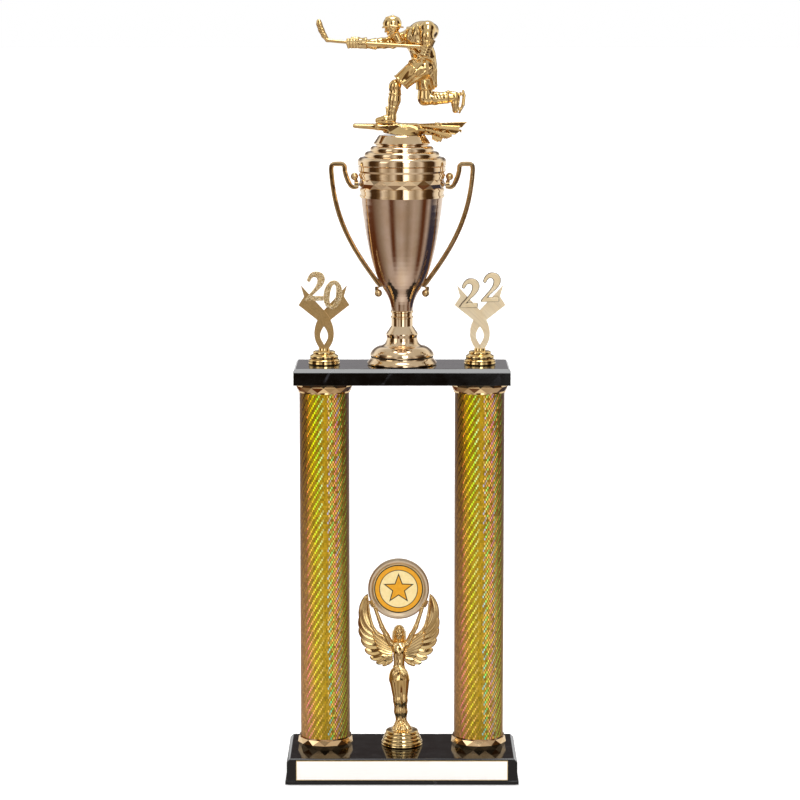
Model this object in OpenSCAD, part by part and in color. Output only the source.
// Two-column hockey trophy: marble base and shelf, film-covered columns, lidded cup,
// skater on top, two turning date trims and a winged figure that holds a medallion.
// Millimetres. Origin under the middle of the base, +Z up, front towards -Y.

/* [Base and shelf] */
// Width of the base at its foot
base_w = 234; // [220:1:260]
// Depth of the base at its foot
base_d = 104; // [104:1:130]
// Height of the base
base_h = 27; // [25:0.5:32]
// Width of the upper shelf
shelf_w = 215; // [210:1:240]
// Depth of the upper shelf
shelf_d = 85; // [80:1:86]
// Thickness of the upper shelf
shelf_t = 16.5; // [15:0.5:20]
// Height of the bare engraving plate
plate_h = 20; // [16:0.5:20]

/* [Columns] */
// Length of a column tube
tube_len = 355.6; // [250:0.1:380]
// Outer diameter of a column over its film
column_d = 50; // [48:0.5:52]
// Distance between the two column axes
column_span = 156; // [150:1:160]
// How far the line of columns stands behind the middle of the base
line_y = 8; // [0:0.5:8]

/* [Cup] */
// Outer radius of the cup's rim
rim_r = 43.5; // [42:0.5:43.5]
// Wall of the spun bowl
bowl_wall = 1.2; // [1:0.1:1.5]
// Facets round the cup's cut band
band_facets = 18; // [14:1:24]
// Radius of the handle bar
bar_r = 2.4; // [2:0.1:2.6]

/* [Trims and figures] */
// Height of one numeral
numeral_h = 29.5; // [26:0.5:30]
// Diameter of the medallion's insert
insert_d = 50.8; // [48:0.1:50.8]
// Facets round a column collar
collar_facets = 14; // [13:1:20]

/* [Hardware] */
// Diameter of every threaded rod
rod_d = 6; // [5.5:0.1:6]
// Gap round a rod inside a part that turns on it
run_gap = 0.08; // [0.05:0.01:0.1]
// Gap between two parts that turn or lift apart
free_gap = 0.3; // [0.3:0.05:0.5]

/* [Hidden] */

gold = [0.86, 0.70, 0.40];
rose_gold = [0.82, 0.66, 0.55];
marble_black = [0.06, 0.06, 0.065];
steel = [0.62, 0.63, 0.65];

round_fn = 96;
small_fn = 48;
limb_fn = 12;
curve_steps = 8;
eps = 0.01;

// Base
felt_t = 1;
felt_inset = 3;
step_h = 4.2;
step_in = 1.5;
base_bevel_side = 3.5;
base_bevel_front = 1.5;
base_pocket_r = 10;
base_pocket_h = 9;
plate_w = 212;
plate_t = 0.5;
tape_t = 0.3;
tape_inset = 3;
plate_z = 5.2;
block_front_y = -base_d / 2 + step_in;

// Hardware
rod_r = rod_d / 2;
rod_hole_r = rod_r + 0.3;
nut_af = 10;
nut_corner_r = nut_af / sqrt(3);
nut_t = 5;
washer_r = 8;
washer_t = 1.2;

// Columns
column_x = column_span / 2;
film_t = 0.4;
core_wall = 2.2;
core_r = column_d / 2 - film_t;
collar_h = 9.55;
collar_edge_r = 27;
collar_mid_r = 28.6;
collar_lip = 1.6;
spigot_h = 12;
spigot_wall = 2;
collar_floor = 3;
tube_z0 = base_h + collar_h;
tube_z1 = tube_z0 + tube_len;
shelf_z = tube_z1 + collar_h;
shelf_top = shelf_z + shelf_t;
shelf_bevel_front = 4;
shelf_bevel_side = 2.2;
shelf_pocket_h = 8;

// Cup, as heights over the shelf
foot_top = shelf_top + 38.6;
stem_top = shelf_top + 54.2;
bowl_floor = shelf_top + 67;
band_z0 = shelf_top + 176.2;
band_z1 = shelf_top + 186;
rim_z = shelf_top + 198.4;
lid_h = 19.6;
lid_roof = 3;
lid_top = rim_z + lid_h;
riser_h = 10.8;
riser_top = lid_top + riser_h;

// Date trims
trim_top = shelf_top + 14.2;
trim_pocket_h = 8.4;
ribbon_t = 2.4;
numeral_t = 3;

// Winged figure
victory_base_h = 16.5;
victory_top = base_h + victory_base_h;
victory_nut_z = base_h + 6;
bolt_head_t = 4;
medal_z = 188.6;
medal_x = -3.4;
medal_r = 31;
medal_t = 6;
seat_t = 3;
insert_t = 1;

// A point on a cubic curve, and the curve as a list of points
function curve_point(p, t) =
  pow(1 - t, 3) * p[0] + 3 * pow(1 - t, 2) * t * p[1] + 3 * (1 - t) * t * t * p[2] + pow(t, 3) * p[3];
function curve(p, n = curve_steps) = [for (i = [0:n - 1]) curve_point(p, i / n)];
function arc(centre, r, a0, a1, n = curve_steps) =
  [for (i = [0:n]) let (a = a0 + (a1 - a0) * i / n) centre + r * [cos(a), sin(a)]];

// A round bar swept along a path that stays in the XZ plane
module swept_bar(path, r, sides = 10) {
  last = len(path) - 1;
  function heading(i) = let (d = path[min(i + 1, last)] - path[max(i - 1, 0)]) d / norm(d);
  rings = [for (i = [0:last]) let (t = heading(i)) for (k = [0:sides - 1]) let (a = 360 * k / sides)
    [path[i][0] - r * cos(a) * t[1], r * sin(a), path[i][1] + r * cos(a) * t[0]]];
  sides_faces = [for (i = [0:last - 1]) for (k = [0:sides - 1]) let (n = (k + 1) % sides)
    each [[i * sides + k, i * sides + n, (i + 1) * sides + k],
          [i * sides + n, (i + 1) * sides + n, (i + 1) * sides + k]]];
  start_cap = [[for (k = [sides - 1:-1:0]) k]];
  end_cap = [[for (k = [0:sides - 1]) last * sides + k]];
  polyhedron(rings, concat(sides_faces, start_cap, end_cap), convexity = 6);
}

// A solid ring of pyramids: points sit at the mid height, half a step round from the edge corners
module cut_band(n, edge_r, mid_r, z0, z1) {
  step = 360 / n;
  lower = [for (i = [0:n - 1]) [edge_r * cos(i * step), edge_r * sin(i * step), z0]];
  mid_z = (z0 + z1) / 2;
  middle = [for (i = [0:n - 1]) [mid_r * cos((i + 0.5) * step), mid_r * sin((i + 0.5) * step), mid_z]];
  upper = [for (i = [0:n - 1]) [edge_r * cos(i * step), edge_r * sin(i * step), z1]];
  facets = [for (i = [0:n - 1]) let (j = (i + 1) % n) each [
    [i, n + i, j], [n + i, n + j, j], [n + i, 2 * n + j, n + j], [n + i, 2 * n + i, 2 * n + j]]];
  bottom = [[for (i = [0:n - 1]) i]];
  top = [[for (i = [n - 1:-1:0]) 2 * n + i]];
  polyhedron(concat(lower, middle, upper), concat(facets, bottom, top), convexity = 4);
}

// A limb with round ends, from ball to ball; each ball is [x, y, z, radius]
module limb(balls) {
  for (i = [0:len(balls) - 2]) hull() {
    ball(balls[i]);
    ball(balls[i + 1]);
  }
}
module ball(b) { translate([b[0], b[1], b[2]]) sphere(b[3], $fn = limb_fn); }

module rod(z0, z1) { translate([0, 0, z0]) cylinder(r = rod_r, h = z1 - z0, $fn = small_fn); }
module bore(r, z0, z1) { translate([0, 0, z0]) cylinder(r = r, h = z1 - z0, $fn = small_fn); }
module hex_nut(z, hole_r = rod_r) {
  translate([0, 0, z]) difference() {
    cylinder(r = nut_corner_r, h = nut_t, $fn = 6);
    translate([0, 0, -1]) cylinder(r = hole_r, h = nut_t + 2, $fn = small_fn);
  }
}
module washer(z) {
  translate([0, 0, z]) difference() {
    cylinder(r = washer_r, h = washer_t, $fn = small_fn);
    translate([0, 0, -1]) cylinder(r = rod_hole_r, h = washer_t + 2, $fn = small_fn);
  }
}
module turned(points) { rotate_extrude($fn = round_fn) polygon(points); }
module at_column(side) { translate([side * column_x, line_y, 0]) children(); }
module on_line() { translate([0, line_y, 0]) children(); }

// A block whose top edges are bevelled, more on the front and back than on the sides
module bevelled_slab(w, d, z0, z1, side_b, front_b) {
  intersection() {
    rotate([90, 0, 0]) linear_extrude(d, center = true)
      polygon([[-w / 2, z0], [w / 2, z0], [w / 2, z1 - side_b], [w / 2 - side_b, z1],
               [-w / 2 + side_b, z1], [-w / 2, z1 - side_b]]);
    rotate([90, 0, 90]) linear_extrude(w, center = true)
      polygon([[-d / 2, z0], [d / 2, z0], [d / 2, z1 - front_b], [d / 2 - front_b, z1],
               [-d / 2 + front_b, z1], [-d / 2, z1 - front_b]]);
  }
}

// ---- Base ----
module base_felt() {
  color("darkgreen") translate([-base_w / 2 + felt_inset, -base_d / 2 + felt_inset, 0])
    cube([base_w - 2 * felt_inset, base_d - 2 * felt_inset, felt_t]);
}

module base_block() {
  color(marble_black) difference() {
    union() {
      translate([-base_w / 2, -base_d / 2, felt_t]) cube([base_w, base_d, step_h - felt_t]);
      bevelled_slab(base_w - 2 * step_in, base_d - 2 * step_in, felt_t, base_h,
                    base_bevel_side, base_bevel_front);
    }
    for (x = [-column_x, 0, column_x]) translate([x, line_y, 0]) {
      bore(rod_hole_r, 0, base_h + 1);
      bore(base_pocket_r, 0, felt_t + base_pocket_h);
    }
  }
}

module plate_tape() {
  color("white") translate([-plate_w / 2 + tape_inset, block_front_y - tape_t, plate_z + tape_inset])
    cube([plate_w - 2 * tape_inset, tape_t, plate_h - 2 * tape_inset]);
}

module name_plate() {
  color("ivory") translate([-plate_w / 2, block_front_y - tape_t - plate_t, plate_z])
    cube([plate_w, plate_t, plate_h]);
}

// ---- Tie rods ----
rod_low_z = felt_t + 1.2;
rod_high_z = trim_top - 1;
module tie_rod_left() { color(steel) at_column(-1) rod(rod_low_z, rod_high_z); }
module tie_rod_right() { color(steel) at_column(1) rod(rod_low_z, rod_high_z); }

base_washer_z = felt_t + base_pocket_h - washer_t;
module tie_rod_nuts() {
  color(steel) for (side = [-1, 1]) at_column(side) {
    hex_nut(base_washer_z - nut_t);
    hex_nut(shelf_top + washer_t);
  }
}

module tie_rod_washers() {
  color(steel) for (side = [-1, 1]) at_column(side) {
    washer(base_washer_z);
    washer(shelf_top);
  }
}

// ---- Columns ----
module collar(z) {
  difference() {
    union() {
      translate([0, 0, z]) cut_band(collar_facets, collar_edge_r, collar_mid_r, 0, collar_h);
      translate([0, 0, z + collar_h - eps]) cylinder(r = collar_edge_r - 0.8, h = collar_lip, $fn = round_fn);
      translate([0, 0, z]) cylinder(r = core_r - core_wall, h = collar_h + spigot_h, $fn = round_fn);
    }
    translate([0, 0, z + collar_h]) difference() {
      cylinder(r = column_d / 2, h = spigot_h + 1, $fn = round_fn);
      translate([0, 0, -1]) cylinder(r = core_r - core_wall, h = spigot_h + 3, $fn = round_fn);
    }
    translate([0, 0, z + collar_floor])
      cylinder(r = core_r - core_wall - spigot_wall, h = collar_h + spigot_h, $fn = round_fn);
    translate([0, 0, z]) bore(rod_hole_r, -1, 5);
  }
}
module lower_collar(side) { color(gold) at_column(side) collar(base_h); }
module upper_collar(side) {
  color(gold) at_column(side) translate([0, 0, shelf_z]) mirror([0, 0, 1]) collar(0);
}
module tube(r_out, wall) {
  translate([0, 0, tube_z0]) difference() {
    cylinder(r = r_out, h = tube_len, $fn = round_fn);
    translate([0, 0, -1]) cylinder(r = r_out - wall, h = tube_len + 2, $fn = round_fn);
  }
}
module lower_collar_left() { lower_collar(-1); }
module lower_collar_right() { lower_collar(1); }
module upper_collar_left() { upper_collar(-1); }
module upper_collar_right() { upper_collar(1); }
module column_core_left() { color("tan") at_column(-1) tube(core_r, core_wall); }
module column_core_right() { color("tan") at_column(1) tube(core_r, core_wall); }
module column_film_left() { color("goldenrod") at_column(-1) tube(column_d / 2, film_t); }
module column_film_right() { color("goldenrod") at_column(1) tube(column_d / 2, film_t); }

// ---- Shelf ----
module top_platform() {
  color(marble_black) difference() {
    on_line() bevelled_slab(shelf_w, shelf_d, shelf_z, shelf_top, shelf_bevel_side, shelf_bevel_front);
    for (x = [-column_x, 0, column_x]) translate([x, line_y, 0]) bore(rod_hole_r, shelf_z - 1, shelf_top + 1);
    on_line() bore(base_pocket_r, shelf_z - 1, shelf_z + shelf_pocket_h);
  }
}

// ---- Cup ----
function raise(points, z) = [for (p = points) [p[0], p[1] + z]];

foot_outline = concat(
  [[33.6, 0], [34.8, 0.8], [34.8, 2]],
  curve([[34.8, 2], [33, 4.6], [31.2, 5.2], [31, 8.2]]),
  [[31.9, 9.2], [31.9, 10.4]],
  curve([[31.9, 10.4], [30.6, 14.4], [26, 18], [21.5, 18.6]]),
  curve([[21.5, 18.6], [16.8, 19.4], [15.4, 23], [15, 29.5]]),
  [[15.8, 30], [15.8, 31.2], [10.8, 38.6]]);
foot_hollow = [[29, -1], [29, 6], [26.5, 12], [13, 15], [11.5, 28], [8, 34], [6.4, 34], [6.4, -1]];

module cup_foot() {
  color(rose_gold) on_line() translate([0, 0, shelf_top]) difference() {
    turned(concat([[0, 0]], foot_outline, [[0, foot_top - shelf_top]]));
    turned(foot_hollow);
    bore(rod_hole_r, -1, 50);
  }
}

stem_r = 10.7;
module cup_stem() {
  color(rose_gold) on_line() translate([0, 0, foot_top]) difference() {
    turned([[0, 0], [stem_r, 0], [stem_r, 7.6], [stem_r + 0.8, 8.3], [stem_r + 0.8, 9.4],
            [stem_r - 0.3, 10.2], [stem_r - 0.3, 13], [stem_r + 0.7, 13.8], [stem_r + 0.7, 15],
            [stem_r, stem_top - foot_top], [0, stem_top - foot_top]]);
    bore(rod_hole_r, -1, 20);
  }
}

// Outer line of the bowl from the neck to its upper edge, in radius and height over the neck
bowl_h = band_z0 - 1 - stem_top;
bowl_outer = concat(
  curve([[stem_r, 0], [stem_r + 0.4, 10], [14.5, 15], [19.5, 23]]),
  curve([[19.5, 23], [27, 35.5], [32, 53], [36.4, 80]], 12),
  curve([[36.4, 80], [38.2, 91], [40.3, 107], [41.4, bowl_h]], 6),
  [[41.4, bowl_h]]);
bowl_inner = concat(
  [[0, bowl_floor - stem_top], [8.8, bowl_floor - stem_top]],
  curve([[10.8, bowl_floor - stem_top + 0.6], [14.5, 17], [16.5, 20], [18.1, 23]]),
  curve([[18.1, 23], [25.7, 35.8], [30.7, 53.2], [36.4 - bowl_wall, 80]], 12),
  curve([[36.4 - bowl_wall, 80], [37, 91], [39.1, 107], [41.4 - bowl_wall, bowl_h]], 6),
  [[41.4 - bowl_wall, bowl_h + 1], [0, bowl_h + 1]]);

screw_r = 1.4;
screw_head_r = 2.6;
screw_head_t = 1.6;
screw_high_in = 40;
screw_low_in = 16.2;
screw_high_z = rim_z - 18.6;
screw_low_z = rim_z - 119.6;

module cup_bowl() {
  color(rose_gold) on_line() difference() {
    translate([0, 0, stem_top]) difference() {
      turned(concat([[0, 0]], bowl_outer, [[0, bowl_h]]));
      turned(bowl_inner);
    }
    bore(rod_hole_r, stem_top - 1, stem_top + 20);
    for (side = [-1, 1]) screw_hole(side, screw_low_z);
  }
}

// Ribbed band at the rim, with the cut facets between two pairs of ribs
module rib(r, z, h = 2) { translate([0, 0, z]) cylinder(r = r, h = h, $fn = round_fn); }
module cup_band() {
  color(rose_gold) on_line() difference() {
    union() {
      turned([[0, band_z0 - 9], [41.6, band_z0 - 9], [41.6, band_z0], [41.2, band_z0], [41.2, band_z1],
              [42.3, band_z1], [42.3, rim_z - 6.6], [rim_r - 0.6, rim_z - 5.6], [rim_r, rim_z - 4.6],
              [rim_r, rim_z - 0.6], [rim_r - 0.6, rim_z], [0, rim_z]]);
      for (z = [band_z0 - 8.6, band_z0 - 2.6]) rib(42.4, z);
      for (z = [band_z1 + 2.4, band_z1 + 8.6]) rib(43.1, z);
      cut_band(band_facets, 41.4, 43.2, band_z0, band_z1);
    }
    translate([0, 0, band_z0 - 10]) cylinder(r = 41.4, h = 9, $fn = round_fn);
    translate([0, 0, band_z0 - 2]) cylinder(r = 41.4 - bowl_wall, h = 40, $fn = round_fn);
    for (side = [-1, 1]) screw_hole(side, screw_high_z);
  }
}

module screw_hole(side, z) {
  translate([0, 0, z]) rotate([0, side * 90, 0]) cylinder(r = screw_r, h = 60, $fn = small_fn);
}

// ---- Handles, drawn on the left and mirrored to the right ----
handle_path = concat(
  curve([[-43.2, rim_z - 19], [-46, rim_z - 22], [-50.5, rim_z - 22.5], [-53.2, rim_z - 16]]),
  curve([[-53.2, rim_z - 16], [-55.2, rim_z - 11], [-57, rim_z - 6.5], [-57, rim_z - 2.6]], 5),
  arc([-60.4, rim_z - 1.6], 3.4, 0, 90, 4),
  arc([-66.8, rim_z - 1.6], 3.4, 90, 180, 4),
  curve([[-70.4, rim_z - 3.6], [-67.6, rim_z - 50], [-52.5, rim_z - 79], [-23.4, rim_z - 117.4]], 16),
  [[-21.4, rim_z - 120.4]]);

module handle_body() {
  difference() {
    union() {
      swept_bar(handle_path, bar_r);
      translate([-47.2, 0, rim_z - 10.6]) sphere(3.8, $fn = small_fn);
      translate([-43.4, 0, rim_z - 18.6]) rotate([0, -90, 0]) cylinder(r = 3.4, h = 4, $fn = small_fn);
      swept_bar(curve([[-44.4, rim_z - 17.8], [-45.4, rim_z - 15.6], [-46.2, rim_z - 13.6],
                       [-46.8, rim_z - 11.4]], 4), 1.7);
      translate([-23.6, 0, rim_z - 127]) sphere(3.8, $fn = small_fn);
      swept_bar(curve([[-23.6, rim_z - 127], [-25.6, rim_z - 124.6], [-25.8, rim_z - 121],
                       [-24.4, rim_z - 118.6]], 4), 2);
    }
    cup_outline();
    for (z = [screw_high_z, screw_low_z]) screw_hole(-1, z);
  }
}

// The bowl and band outline, kept out of the handle so that its feet sit on the wall
module cup_outline() {
  turned([[0, band_z0 - 40], [38.5, band_z0 - 40], [43.25, band_z0 - 12], [43.25, rim_z], [0, rim_z]]);
  translate([0, 0, stem_top]) turned(concat([[0, 0]], bowl_outer, [[0, bowl_h]]));
}
module handle_left() { color(gold) on_line() handle_body(); }
module handle_right() { color(gold) on_line() mirror([1, 0, 0]) handle_body(); }

module screw(inner_r, z) {
  translate([-inner_r, 0, z]) rotate([0, -90, 0]) {
    cylinder(r = screw_r - 0.05, h = 6, $fn = small_fn);
    translate([0, 0, -screw_head_t]) cylinder(r = screw_head_r, h = screw_head_t, $fn = small_fn);
  }
}
module handle_screws() {
  color(steel) on_line() for (flip = [0, 1]) mirror([flip, 0, 0]) {
    screw(screw_high_in, screw_high_z);
    screw(screw_low_in, screw_low_z);
  }
}

// ---- Rod of the cup ----
module cup_rod() { color(steel) on_line() rod(shelf_z + 0.6, bowl_floor + washer_t + nut_t + 2); }
module cup_rod_nuts() {
  color(steel) on_line() {
    hex_nut(shelf_z + shelf_pocket_h - washer_t - nut_t);
    hex_nut(bowl_floor + washer_t);
  }
}
module cup_rod_washers() {
  color(steel) on_line() {
    washer(shelf_z + shelf_pocket_h - washer_t);
    washer(bowl_floor);
  }
}

// ---- Lid ----
lid_z = rim_z + free_gap;
lid_spigot_r = 41.4 - bowl_wall - free_gap;
function tier(r, z, h) = concat([[r - 0.5, z], [r, z + 0.5]], arc([r - 2.2, z + h - 2.6], 2.2, 0, 80, 5));
module cup_lid() {
  color(gold) on_line() difference() {
    turned(concat(
      [[0, rim_z - 6], [lid_spigot_r, rim_z - 6], [lid_spigot_r, lid_z]],
      tier(44, lid_z, 8.6), tier(37.4, lid_z + 8.4, 5.6), tier(31.6, lid_z + 13.8, 5.9),
      [[0, lid_top]]));
    turned([[0, rim_z - 7], [lid_spigot_r - 2, rim_z - 7], [lid_spigot_r - 2, rim_z + 4],
            [27, rim_z + 13], [27, lid_top - lid_roof], [0, lid_top - lid_roof]]);
    bore(rod_hole_r, rim_z, lid_top + 1);
  }
}

module figure_riser() {
  color(gold) on_line() difference() {
    translate([0, 0, lid_top]) turned([[0, 0], [26, 0], [26, 1.4], [28.1, 2.2], [28.1, 3.2],
                                       [23.6, riser_h - 0.9], [22.7, riser_h], [0, riser_h]]);
    translate([0, 0, lid_top - 1]) cylinder(r = 19, h = riser_h - 1.5, $fn = round_fn);
    bore(rod_hole_r, lid_top, riser_top + 1);
  }
}

stud_low_z = lid_top - lid_roof - washer_t - nut_t - 1;
stud_high_z = riser_top + 9;
module lid_stud() { color(steel) on_line() rod(stud_low_z, stud_high_z); }
module lid_stud_nut() { color(steel) on_line() hex_nut(lid_top - lid_roof - washer_t - nut_t); }
module lid_stud_washer() { color(steel) on_line() washer(lid_top - lid_roof - washer_t); }

// ---- Skater: ice spray plinth, player and stick ----
plinth_z = riser_top + free_gap;
ice_z = plinth_z + 11.6;
skater_nut_z = plinth_z + 2;
module skater_plinth() {
  color(gold) on_line() difference() {
    union() {
      translate([2, 0, 0])
        turned([[0, plinth_z], [20.4, plinth_z], [20.8, plinth_z + 1], [16, plinth_z + 8],
                [0, plinth_z + 8]]);
      ice_slabs();
      for (i = [0:3]) spray(i);
    }
    bore(rod_r + run_gap, plinth_z - 1, stud_high_z + 1);
    translate([0, 0, skater_nut_z]) cylinder(r = nut_corner_r, h = nut_t, $fn = 6);
  }
}
// The thin ice under the skates and the thicker mass below it
module ice_slabs() {
  ice_slab([[-47, -4, ice_z], [-20, -13, ice_z + 0.6], [-20, 13, ice_z + 0.6],
            [30, -15, ice_z], [30, 15, ice_z]], 4);
  ice_slab([[-20, -9, ice_z - 1], [-14, 0, plinth_z + 5],
            [20, -12, plinth_z + 6], [20, 12, plinth_z + 6]], 4);
}
// A flat slab hulled over flattened balls
module ice_slab(corners, t) {
  hull() for (c = corners) translate(c) scale([1, 1, 0.5]) sphere(t / 2 + 1, $fn = limb_fn);
}
// One blade of the spray that fans out behind the skater
module spray(i) {
  tip = [[62, -3, ice_z + 1.2], [59, 5, ice_z - 5.4], [50, -5, ice_z - 13], [39, 4, ice_z - 18]][i];
  hull() {
    translate([16 + i * 2.4, (i - 1.5) * 5, ice_z - 1.5 - i]) scale([1, 1, 0.6]) sphere(4, $fn = limb_fn);
    translate(tip) sphere(1.5, $fn = limb_fn);
  }
}
module skater_nut() { color(steel) on_line() hex_nut(skater_nut_z, rod_r + run_gap); }

// Heights of the player count from the ice
module skater_figure() {
  color(gold) on_line() difference() {
    translate([0, 0, ice_z]) player();
    stick();
    ice_slabs();
  }
}
module player() {
  // Helmet, neck and chin
  limb([[-7, -1, 98.6, 8.8], [-5, -1, 99.4, 8.8]]);
  limb([[-4, 0, 89, 5], [6, 1, 87, 6]]);
  // Chest, shoulder pads, waist and hips
  limb([[10, 7, 87, 11], [22, 1, 88, 13.6], [22, 0, 73, 12.6], [21, 0, 61, 13], [22, 0, 54, 13.4]]);
  limb([[23, -10, 92, 8.6], [12, 12, 87, 9]]);
  // Near arm
  limb([[25, -13, 91, 8], [29, -17, 80, 6.6], [22, -17, 74, 5.4]]);
  // Far arm reaches along the stick
  limb([[8, 13, 85, 8], [-14, 9, 79, 6.2], [-38, -3, 78.4, 5.6], [-48, -4, 79, 5.2]]);
  // Front leg: breeches, knee, calf and skate
  limb([[18, -6, 55, 12], [1, -7, 43, 10], [-6, -7, 35, 7.6], [-7, -7, 24, 7], [-9, -7, 10, 5]]);
  limb([[-7, -7, 5, 4], [-21, -7, 3.4, 3]]);
  // Rear leg kicked back
  limb([[24, 7, 52, 12], [25, 8, 33, 10], [25, 8, 23, 8], [38, 8, 22.6, 7.4], [51, 8, 24.6, 6]]);
  limb([[53, 8, 27, 5], [57, 8, 14, 4]]);
  limb([[60, 8, 31, 1.6], [62, 8, 21, 1.6], [60.4, 8, 12, 1.6]]);
}

stick_z = ice_z + 76.4;
module stick() {
  translate([0, 0, stick_z]) {
    limb([[20, -17, -1.6, 1.9], [-44, -5, 2.2, 1.9], [-73, 0, 5, 1.9]]);
    hull() {
      ball([-73.4, 0, 6.4, 2.6]);
      ball([-82, -1.5, 26, 2]);
      ball([-80, -1.5, 27, 2]);
    }
  }
}
module hockey_stick() { color(gold) on_line() stick(); }

// ---- Date trims ----
module date_base(side) {
  color(gold) at_column(side) difference() {
    turned(concat([[0, shelf_top + free_gap], [15.6, shelf_top + free_gap], [15.9, shelf_top + 1.2]],
      arc([13.6, shelf_top + 3.4], 2, -20, 80, 4), arc([12.4, shelf_top + 7.6], 1.9, -30, 80, 4),
      arc([9.4, shelf_top + 11.6], 1.9, -30, 80, 4),
      [[6, shelf_top + 14], [5.4, trim_top + 2], [0, trim_top + 2]]));
    bore(washer_r + 1, shelf_top, shelf_top + trim_pocket_h);
    bore(rod_r + run_gap, shelf_top, trim_top - 0.4);
    translate([0, 0, shelf_top + trim_pocket_h - eps]) cylinder(r = nut_corner_r, h = nut_t + eps, $fn = 6);
  }
}
module date_base_left() { date_base(-1); }
module date_base_right() { date_base(1); }
module date_nut_left() { color(steel) at_column(-1) hex_nut(shelf_top + trim_pocket_h, rod_r + run_gap); }
module date_nut_right() { color(steel) at_column(1) hex_nut(shelf_top + trim_pocket_h, rod_r + run_gap); }

// One ribbon from its forked star end at upper left down to the foot at lower right
ribbon_z = trim_top + 2;
ribbon_outline = concat(
  [[-23.1, 63.1], [-19.9, 51.8]], [[-25.4, 43.2]],
  [[-6.5, 28.2]],
  curve([[-6.5, 28.2], [-2, 24], [0.6, 21.6], [2.2, 18.6]], 5),
  curve([[2.2, 18.6], [4.8, 14], [4.6, 9.4], [1.6, 6.4]], 5),
  [[0, 3], [0, 0], [4.8, 0]],
  curve([[4.8, 0], [11, 8], [11.4, 18], [6.6, 28.2]], 7),
  curve([[6.6, 28.2], [4.6, 32], [2.2, 35.8], [0.2, 38.1]], 4));
module ribbon() {
  rotate([90, 0, 0]) linear_extrude(ribbon_t) polygon(ribbon_outline);
}
module date_ribbon(side) {
  color(gold) at_column(side) translate([0, 0, ribbon_z]) {
    translate([0, 0.2, 0]) ribbon();
    mirror([1, 0, 0]) translate([0, ribbon_t, 0]) ribbon();
  }
}
module date_ribbon_left() { date_ribbon(-1); }
module date_ribbon_right() { date_ribbon(1); }

// Numerals, drawn 29.5 high and scaled to the numeral's height
drawn_h = 29.5;
two_outline = concat(
  curve([[0.1, 20.4], [1.4, 26.4], [5, 29.5], [9, 29.5]]),
  curve([[9, 29.5], [14.5, 29.5], [18, 26.4], [18, 21.7]]),
  curve([[18, 21.7], [18, 14.8], [10.4, 10.6], [5.4, 5]]),
  [[5.4, 4.8], [16.4, 4.8], [16.4, 0.2], [-1, 0]],
  curve([[-2.4, 0.8], [2.5, 8], [10.6, 13.6], [10.6, 20.4]]),
  curve([[10.6, 20.4], [10.6, 22.6], [9.3, 23.8], [7.4, 23.8]], 5),
  curve([[7.4, 23.8], [5.4, 23.8], [4.4, 21.8], [3.4, 19.4]], 5),
  [[3.4, 19.4], [1.6, 18.8]]);
module two() { scale(numeral_h / drawn_h) polygon(two_outline); }
function oval(a, b, n = 28) = [for (i = [0:n - 1]) [a * cos(360 * i / n), b * sin(360 * i / n)]];
module zero() {
  translate([9.4, numeral_h / 2]) rotate(-8) difference() {
    polygon(oval(9.4, numeral_h / 2));
    polygon(oval(3, 10.6));
  }
}
module raised_numeral(side, x, z) {
  at_column(side) translate([x, -ribbon_t + 0.2, z]) rotate([90, 0, 0]) linear_extrude(numeral_t) children();
}
low_z = trim_top + 41;
high_z = low_z + 7.8;
module date_numerals_left() {
  color("wheat") {
    raised_numeral(-1, -17, high_z + 1) two();
    raised_numeral(-1, -0.4, low_z) zero();
  }
}
module date_numerals_right() {
  color("wheat") {
    raised_numeral(1, -18.6, low_z + 2) two();
    raised_numeral(1, 2.6, high_z) two();
  }
}

// ---- Winged figure ----
// One of the four rounded ribs that step in towards the top
function base_rib(k) = arc([18.9 - 1.4 * k, base_h + 3 + 3.5 * k], 2, -30, 65, 4);
module victory_base() {
  color(gold) on_line() difference() {
    turned(concat([[0, base_h + free_gap], [20.6, base_h + free_gap], [21, base_h + 1.2]],
      [for (k = [0:3]) each base_rib(k)],
      [[11.5, victory_top - 0.9], [9, victory_top], [0, victory_top]]));
    bore(rod_r + run_gap, base_h, victory_top - 2);
    translate([0, 0, victory_nut_z]) cylinder(r = nut_corner_r, h = nut_t, $fn = 6);
  }
}
module victory_nut() { color(steel) on_line() hex_nut(victory_nut_z, rod_r + run_gap); }
module victory_bolt() {
  color(steel) on_line() {
    rod(base_washer_z - eps, victory_top - 3);
    translate([0, 0, base_washer_z - bolt_head_t]) cylinder(r = nut_corner_r, h = bolt_head_t, $fn = 6);
  }
}
module victory_washer() { color(steel) on_line() washer(base_washer_z); }

module victory_figure() {
  color(gold) on_line() difference() {
    winged_body();
    medallion_space();
    translate([0, 0, victory_top - 20]) cylinder(r = 20, h = 20, $fn = small_fn);
  }
}
module medallion_space() {
  translate([medal_x, 0, medal_z]) rotate([90, 0, 0])
    cylinder(r = medal_r, h = medal_t, center = true, $fn = round_fn);
}
module winged_body() {
  limb([[0, 0, 45, 7], [0.4, 0, 60, 5.4], [0, -1, 72, 5.6], [-0.6, -0.6, 86, 8], [-1.6, 0, 100, 9],
        [-2, 0, 111, 5.6], [-2.6, -0.4, 124, 7.6]]);
  limb([[-9, 0, 131, 4], [3.4, 0, 131, 4]]);
  limb([[-2.9, 0, 134, 3], [-3, 0, 141, 3]]);
  limb([[-3, 0, 145, 5.6], [-3, 0.6, 147, 5.4]]);
  limb([[-10, 0, 132, 3.4], [-19, -2, 149, 2.6], [medal_x - 25, -1, 171, 2.2]]);
  limb([[4.4, 0, 132, 3.4], [13, -2, 149, 2.6], [medal_x + 25, -1, 171, 2.2]]);
}

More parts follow.
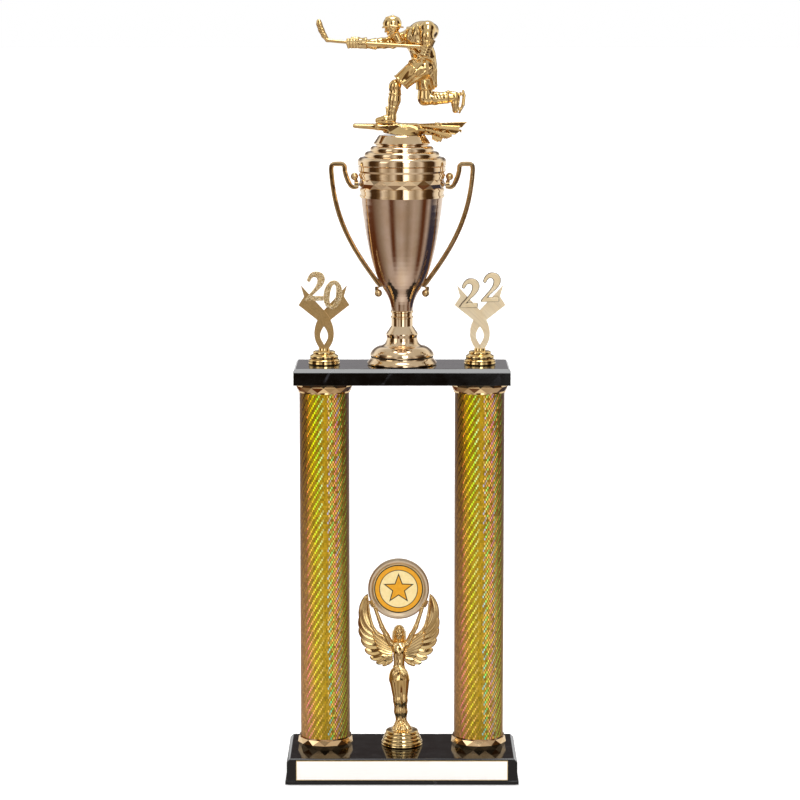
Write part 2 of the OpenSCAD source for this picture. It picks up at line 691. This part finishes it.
// Outline of one wing, as the right wing beside the body axis
wing_outline = concat(
  curve([[6, 132], [14, 146], [24, 162], [29, 181]], 6),
  curve([[29, 181], [38, 168], [42, 146], [35, 132]], 6),
  curve([[35, 132], [34, 122], [26, 110], [16, 107]], 5),
  curve([[16, 107], [9, 112], [6, 122], [6, 132]], 5));
module victory_wings() {
  color(gold) on_line() difference() {
    translate([-2.4, 4, 0]) rotate([90, 0, 0]) {
      linear_extrude(3) polygon(wing_outline);
      mirror([1, 0, 0]) linear_extrude(3) polygon(wing_outline);
      translate([-8, 118, 0]) cube([16, 16, 3]);
    }
    winged_body();
    medallion_space();
  }
}

insert_r = insert_d / 2;
module medallion_ring() {
  color(gold) on_line() translate([medal_x, 0, medal_z]) rotate([90, 0, 0]) translate([0, 0, -medal_t / 2])
    turned([[0, 0], [medal_r - 0.8, 0], [medal_r, 0.8], [medal_r, medal_t - 2], [medal_r - 1.6, medal_t],
            [medal_r - 3.4, medal_t], [insert_r + 0.1, medal_t - 1.8],
            [insert_r + 0.1, medal_t - seat_t], [0, medal_t - seat_t]]);
}
module medallion_insert() {
  color("khaki") on_line() translate([medal_x, 0, medal_z]) rotate([90, 0, 0])
    translate([0, 0, medal_t / 2 - seat_t]) cylinder(r = insert_r, h = insert_t, $fn = round_fn);
}

base_felt();
base_block();
plate_tape();
name_plate();
tie_rod_left();
tie_rod_right();
tie_rod_nuts();
tie_rod_washers();
lower_collar_left();
lower_collar_right();
column_core_left();
column_core_right();
column_film_left();
column_film_right();
upper_collar_left();
upper_collar_right();
top_platform();
cup_foot();
cup_stem();
cup_bowl();
cup_band();
handle_left();
handle_right();
handle_screws();
cup_rod();
cup_rod_nuts();
cup_rod_washers();
victory_bolt();
victory_washer();
cup_lid();
figure_riser();
lid_stud();
lid_stud_nut();
lid_stud_washer();
skater_plinth();
skater_nut();
skater_figure();
hockey_stick();
date_base_left();
date_ribbon_left();
date_numerals_left();
date_nut_left();
date_base_right();
date_ribbon_right();
date_numerals_right();
date_nut_right();
victory_base();
victory_nut();
victory_figure();
victory_wings();
medallion_ring();
medallion_insert();
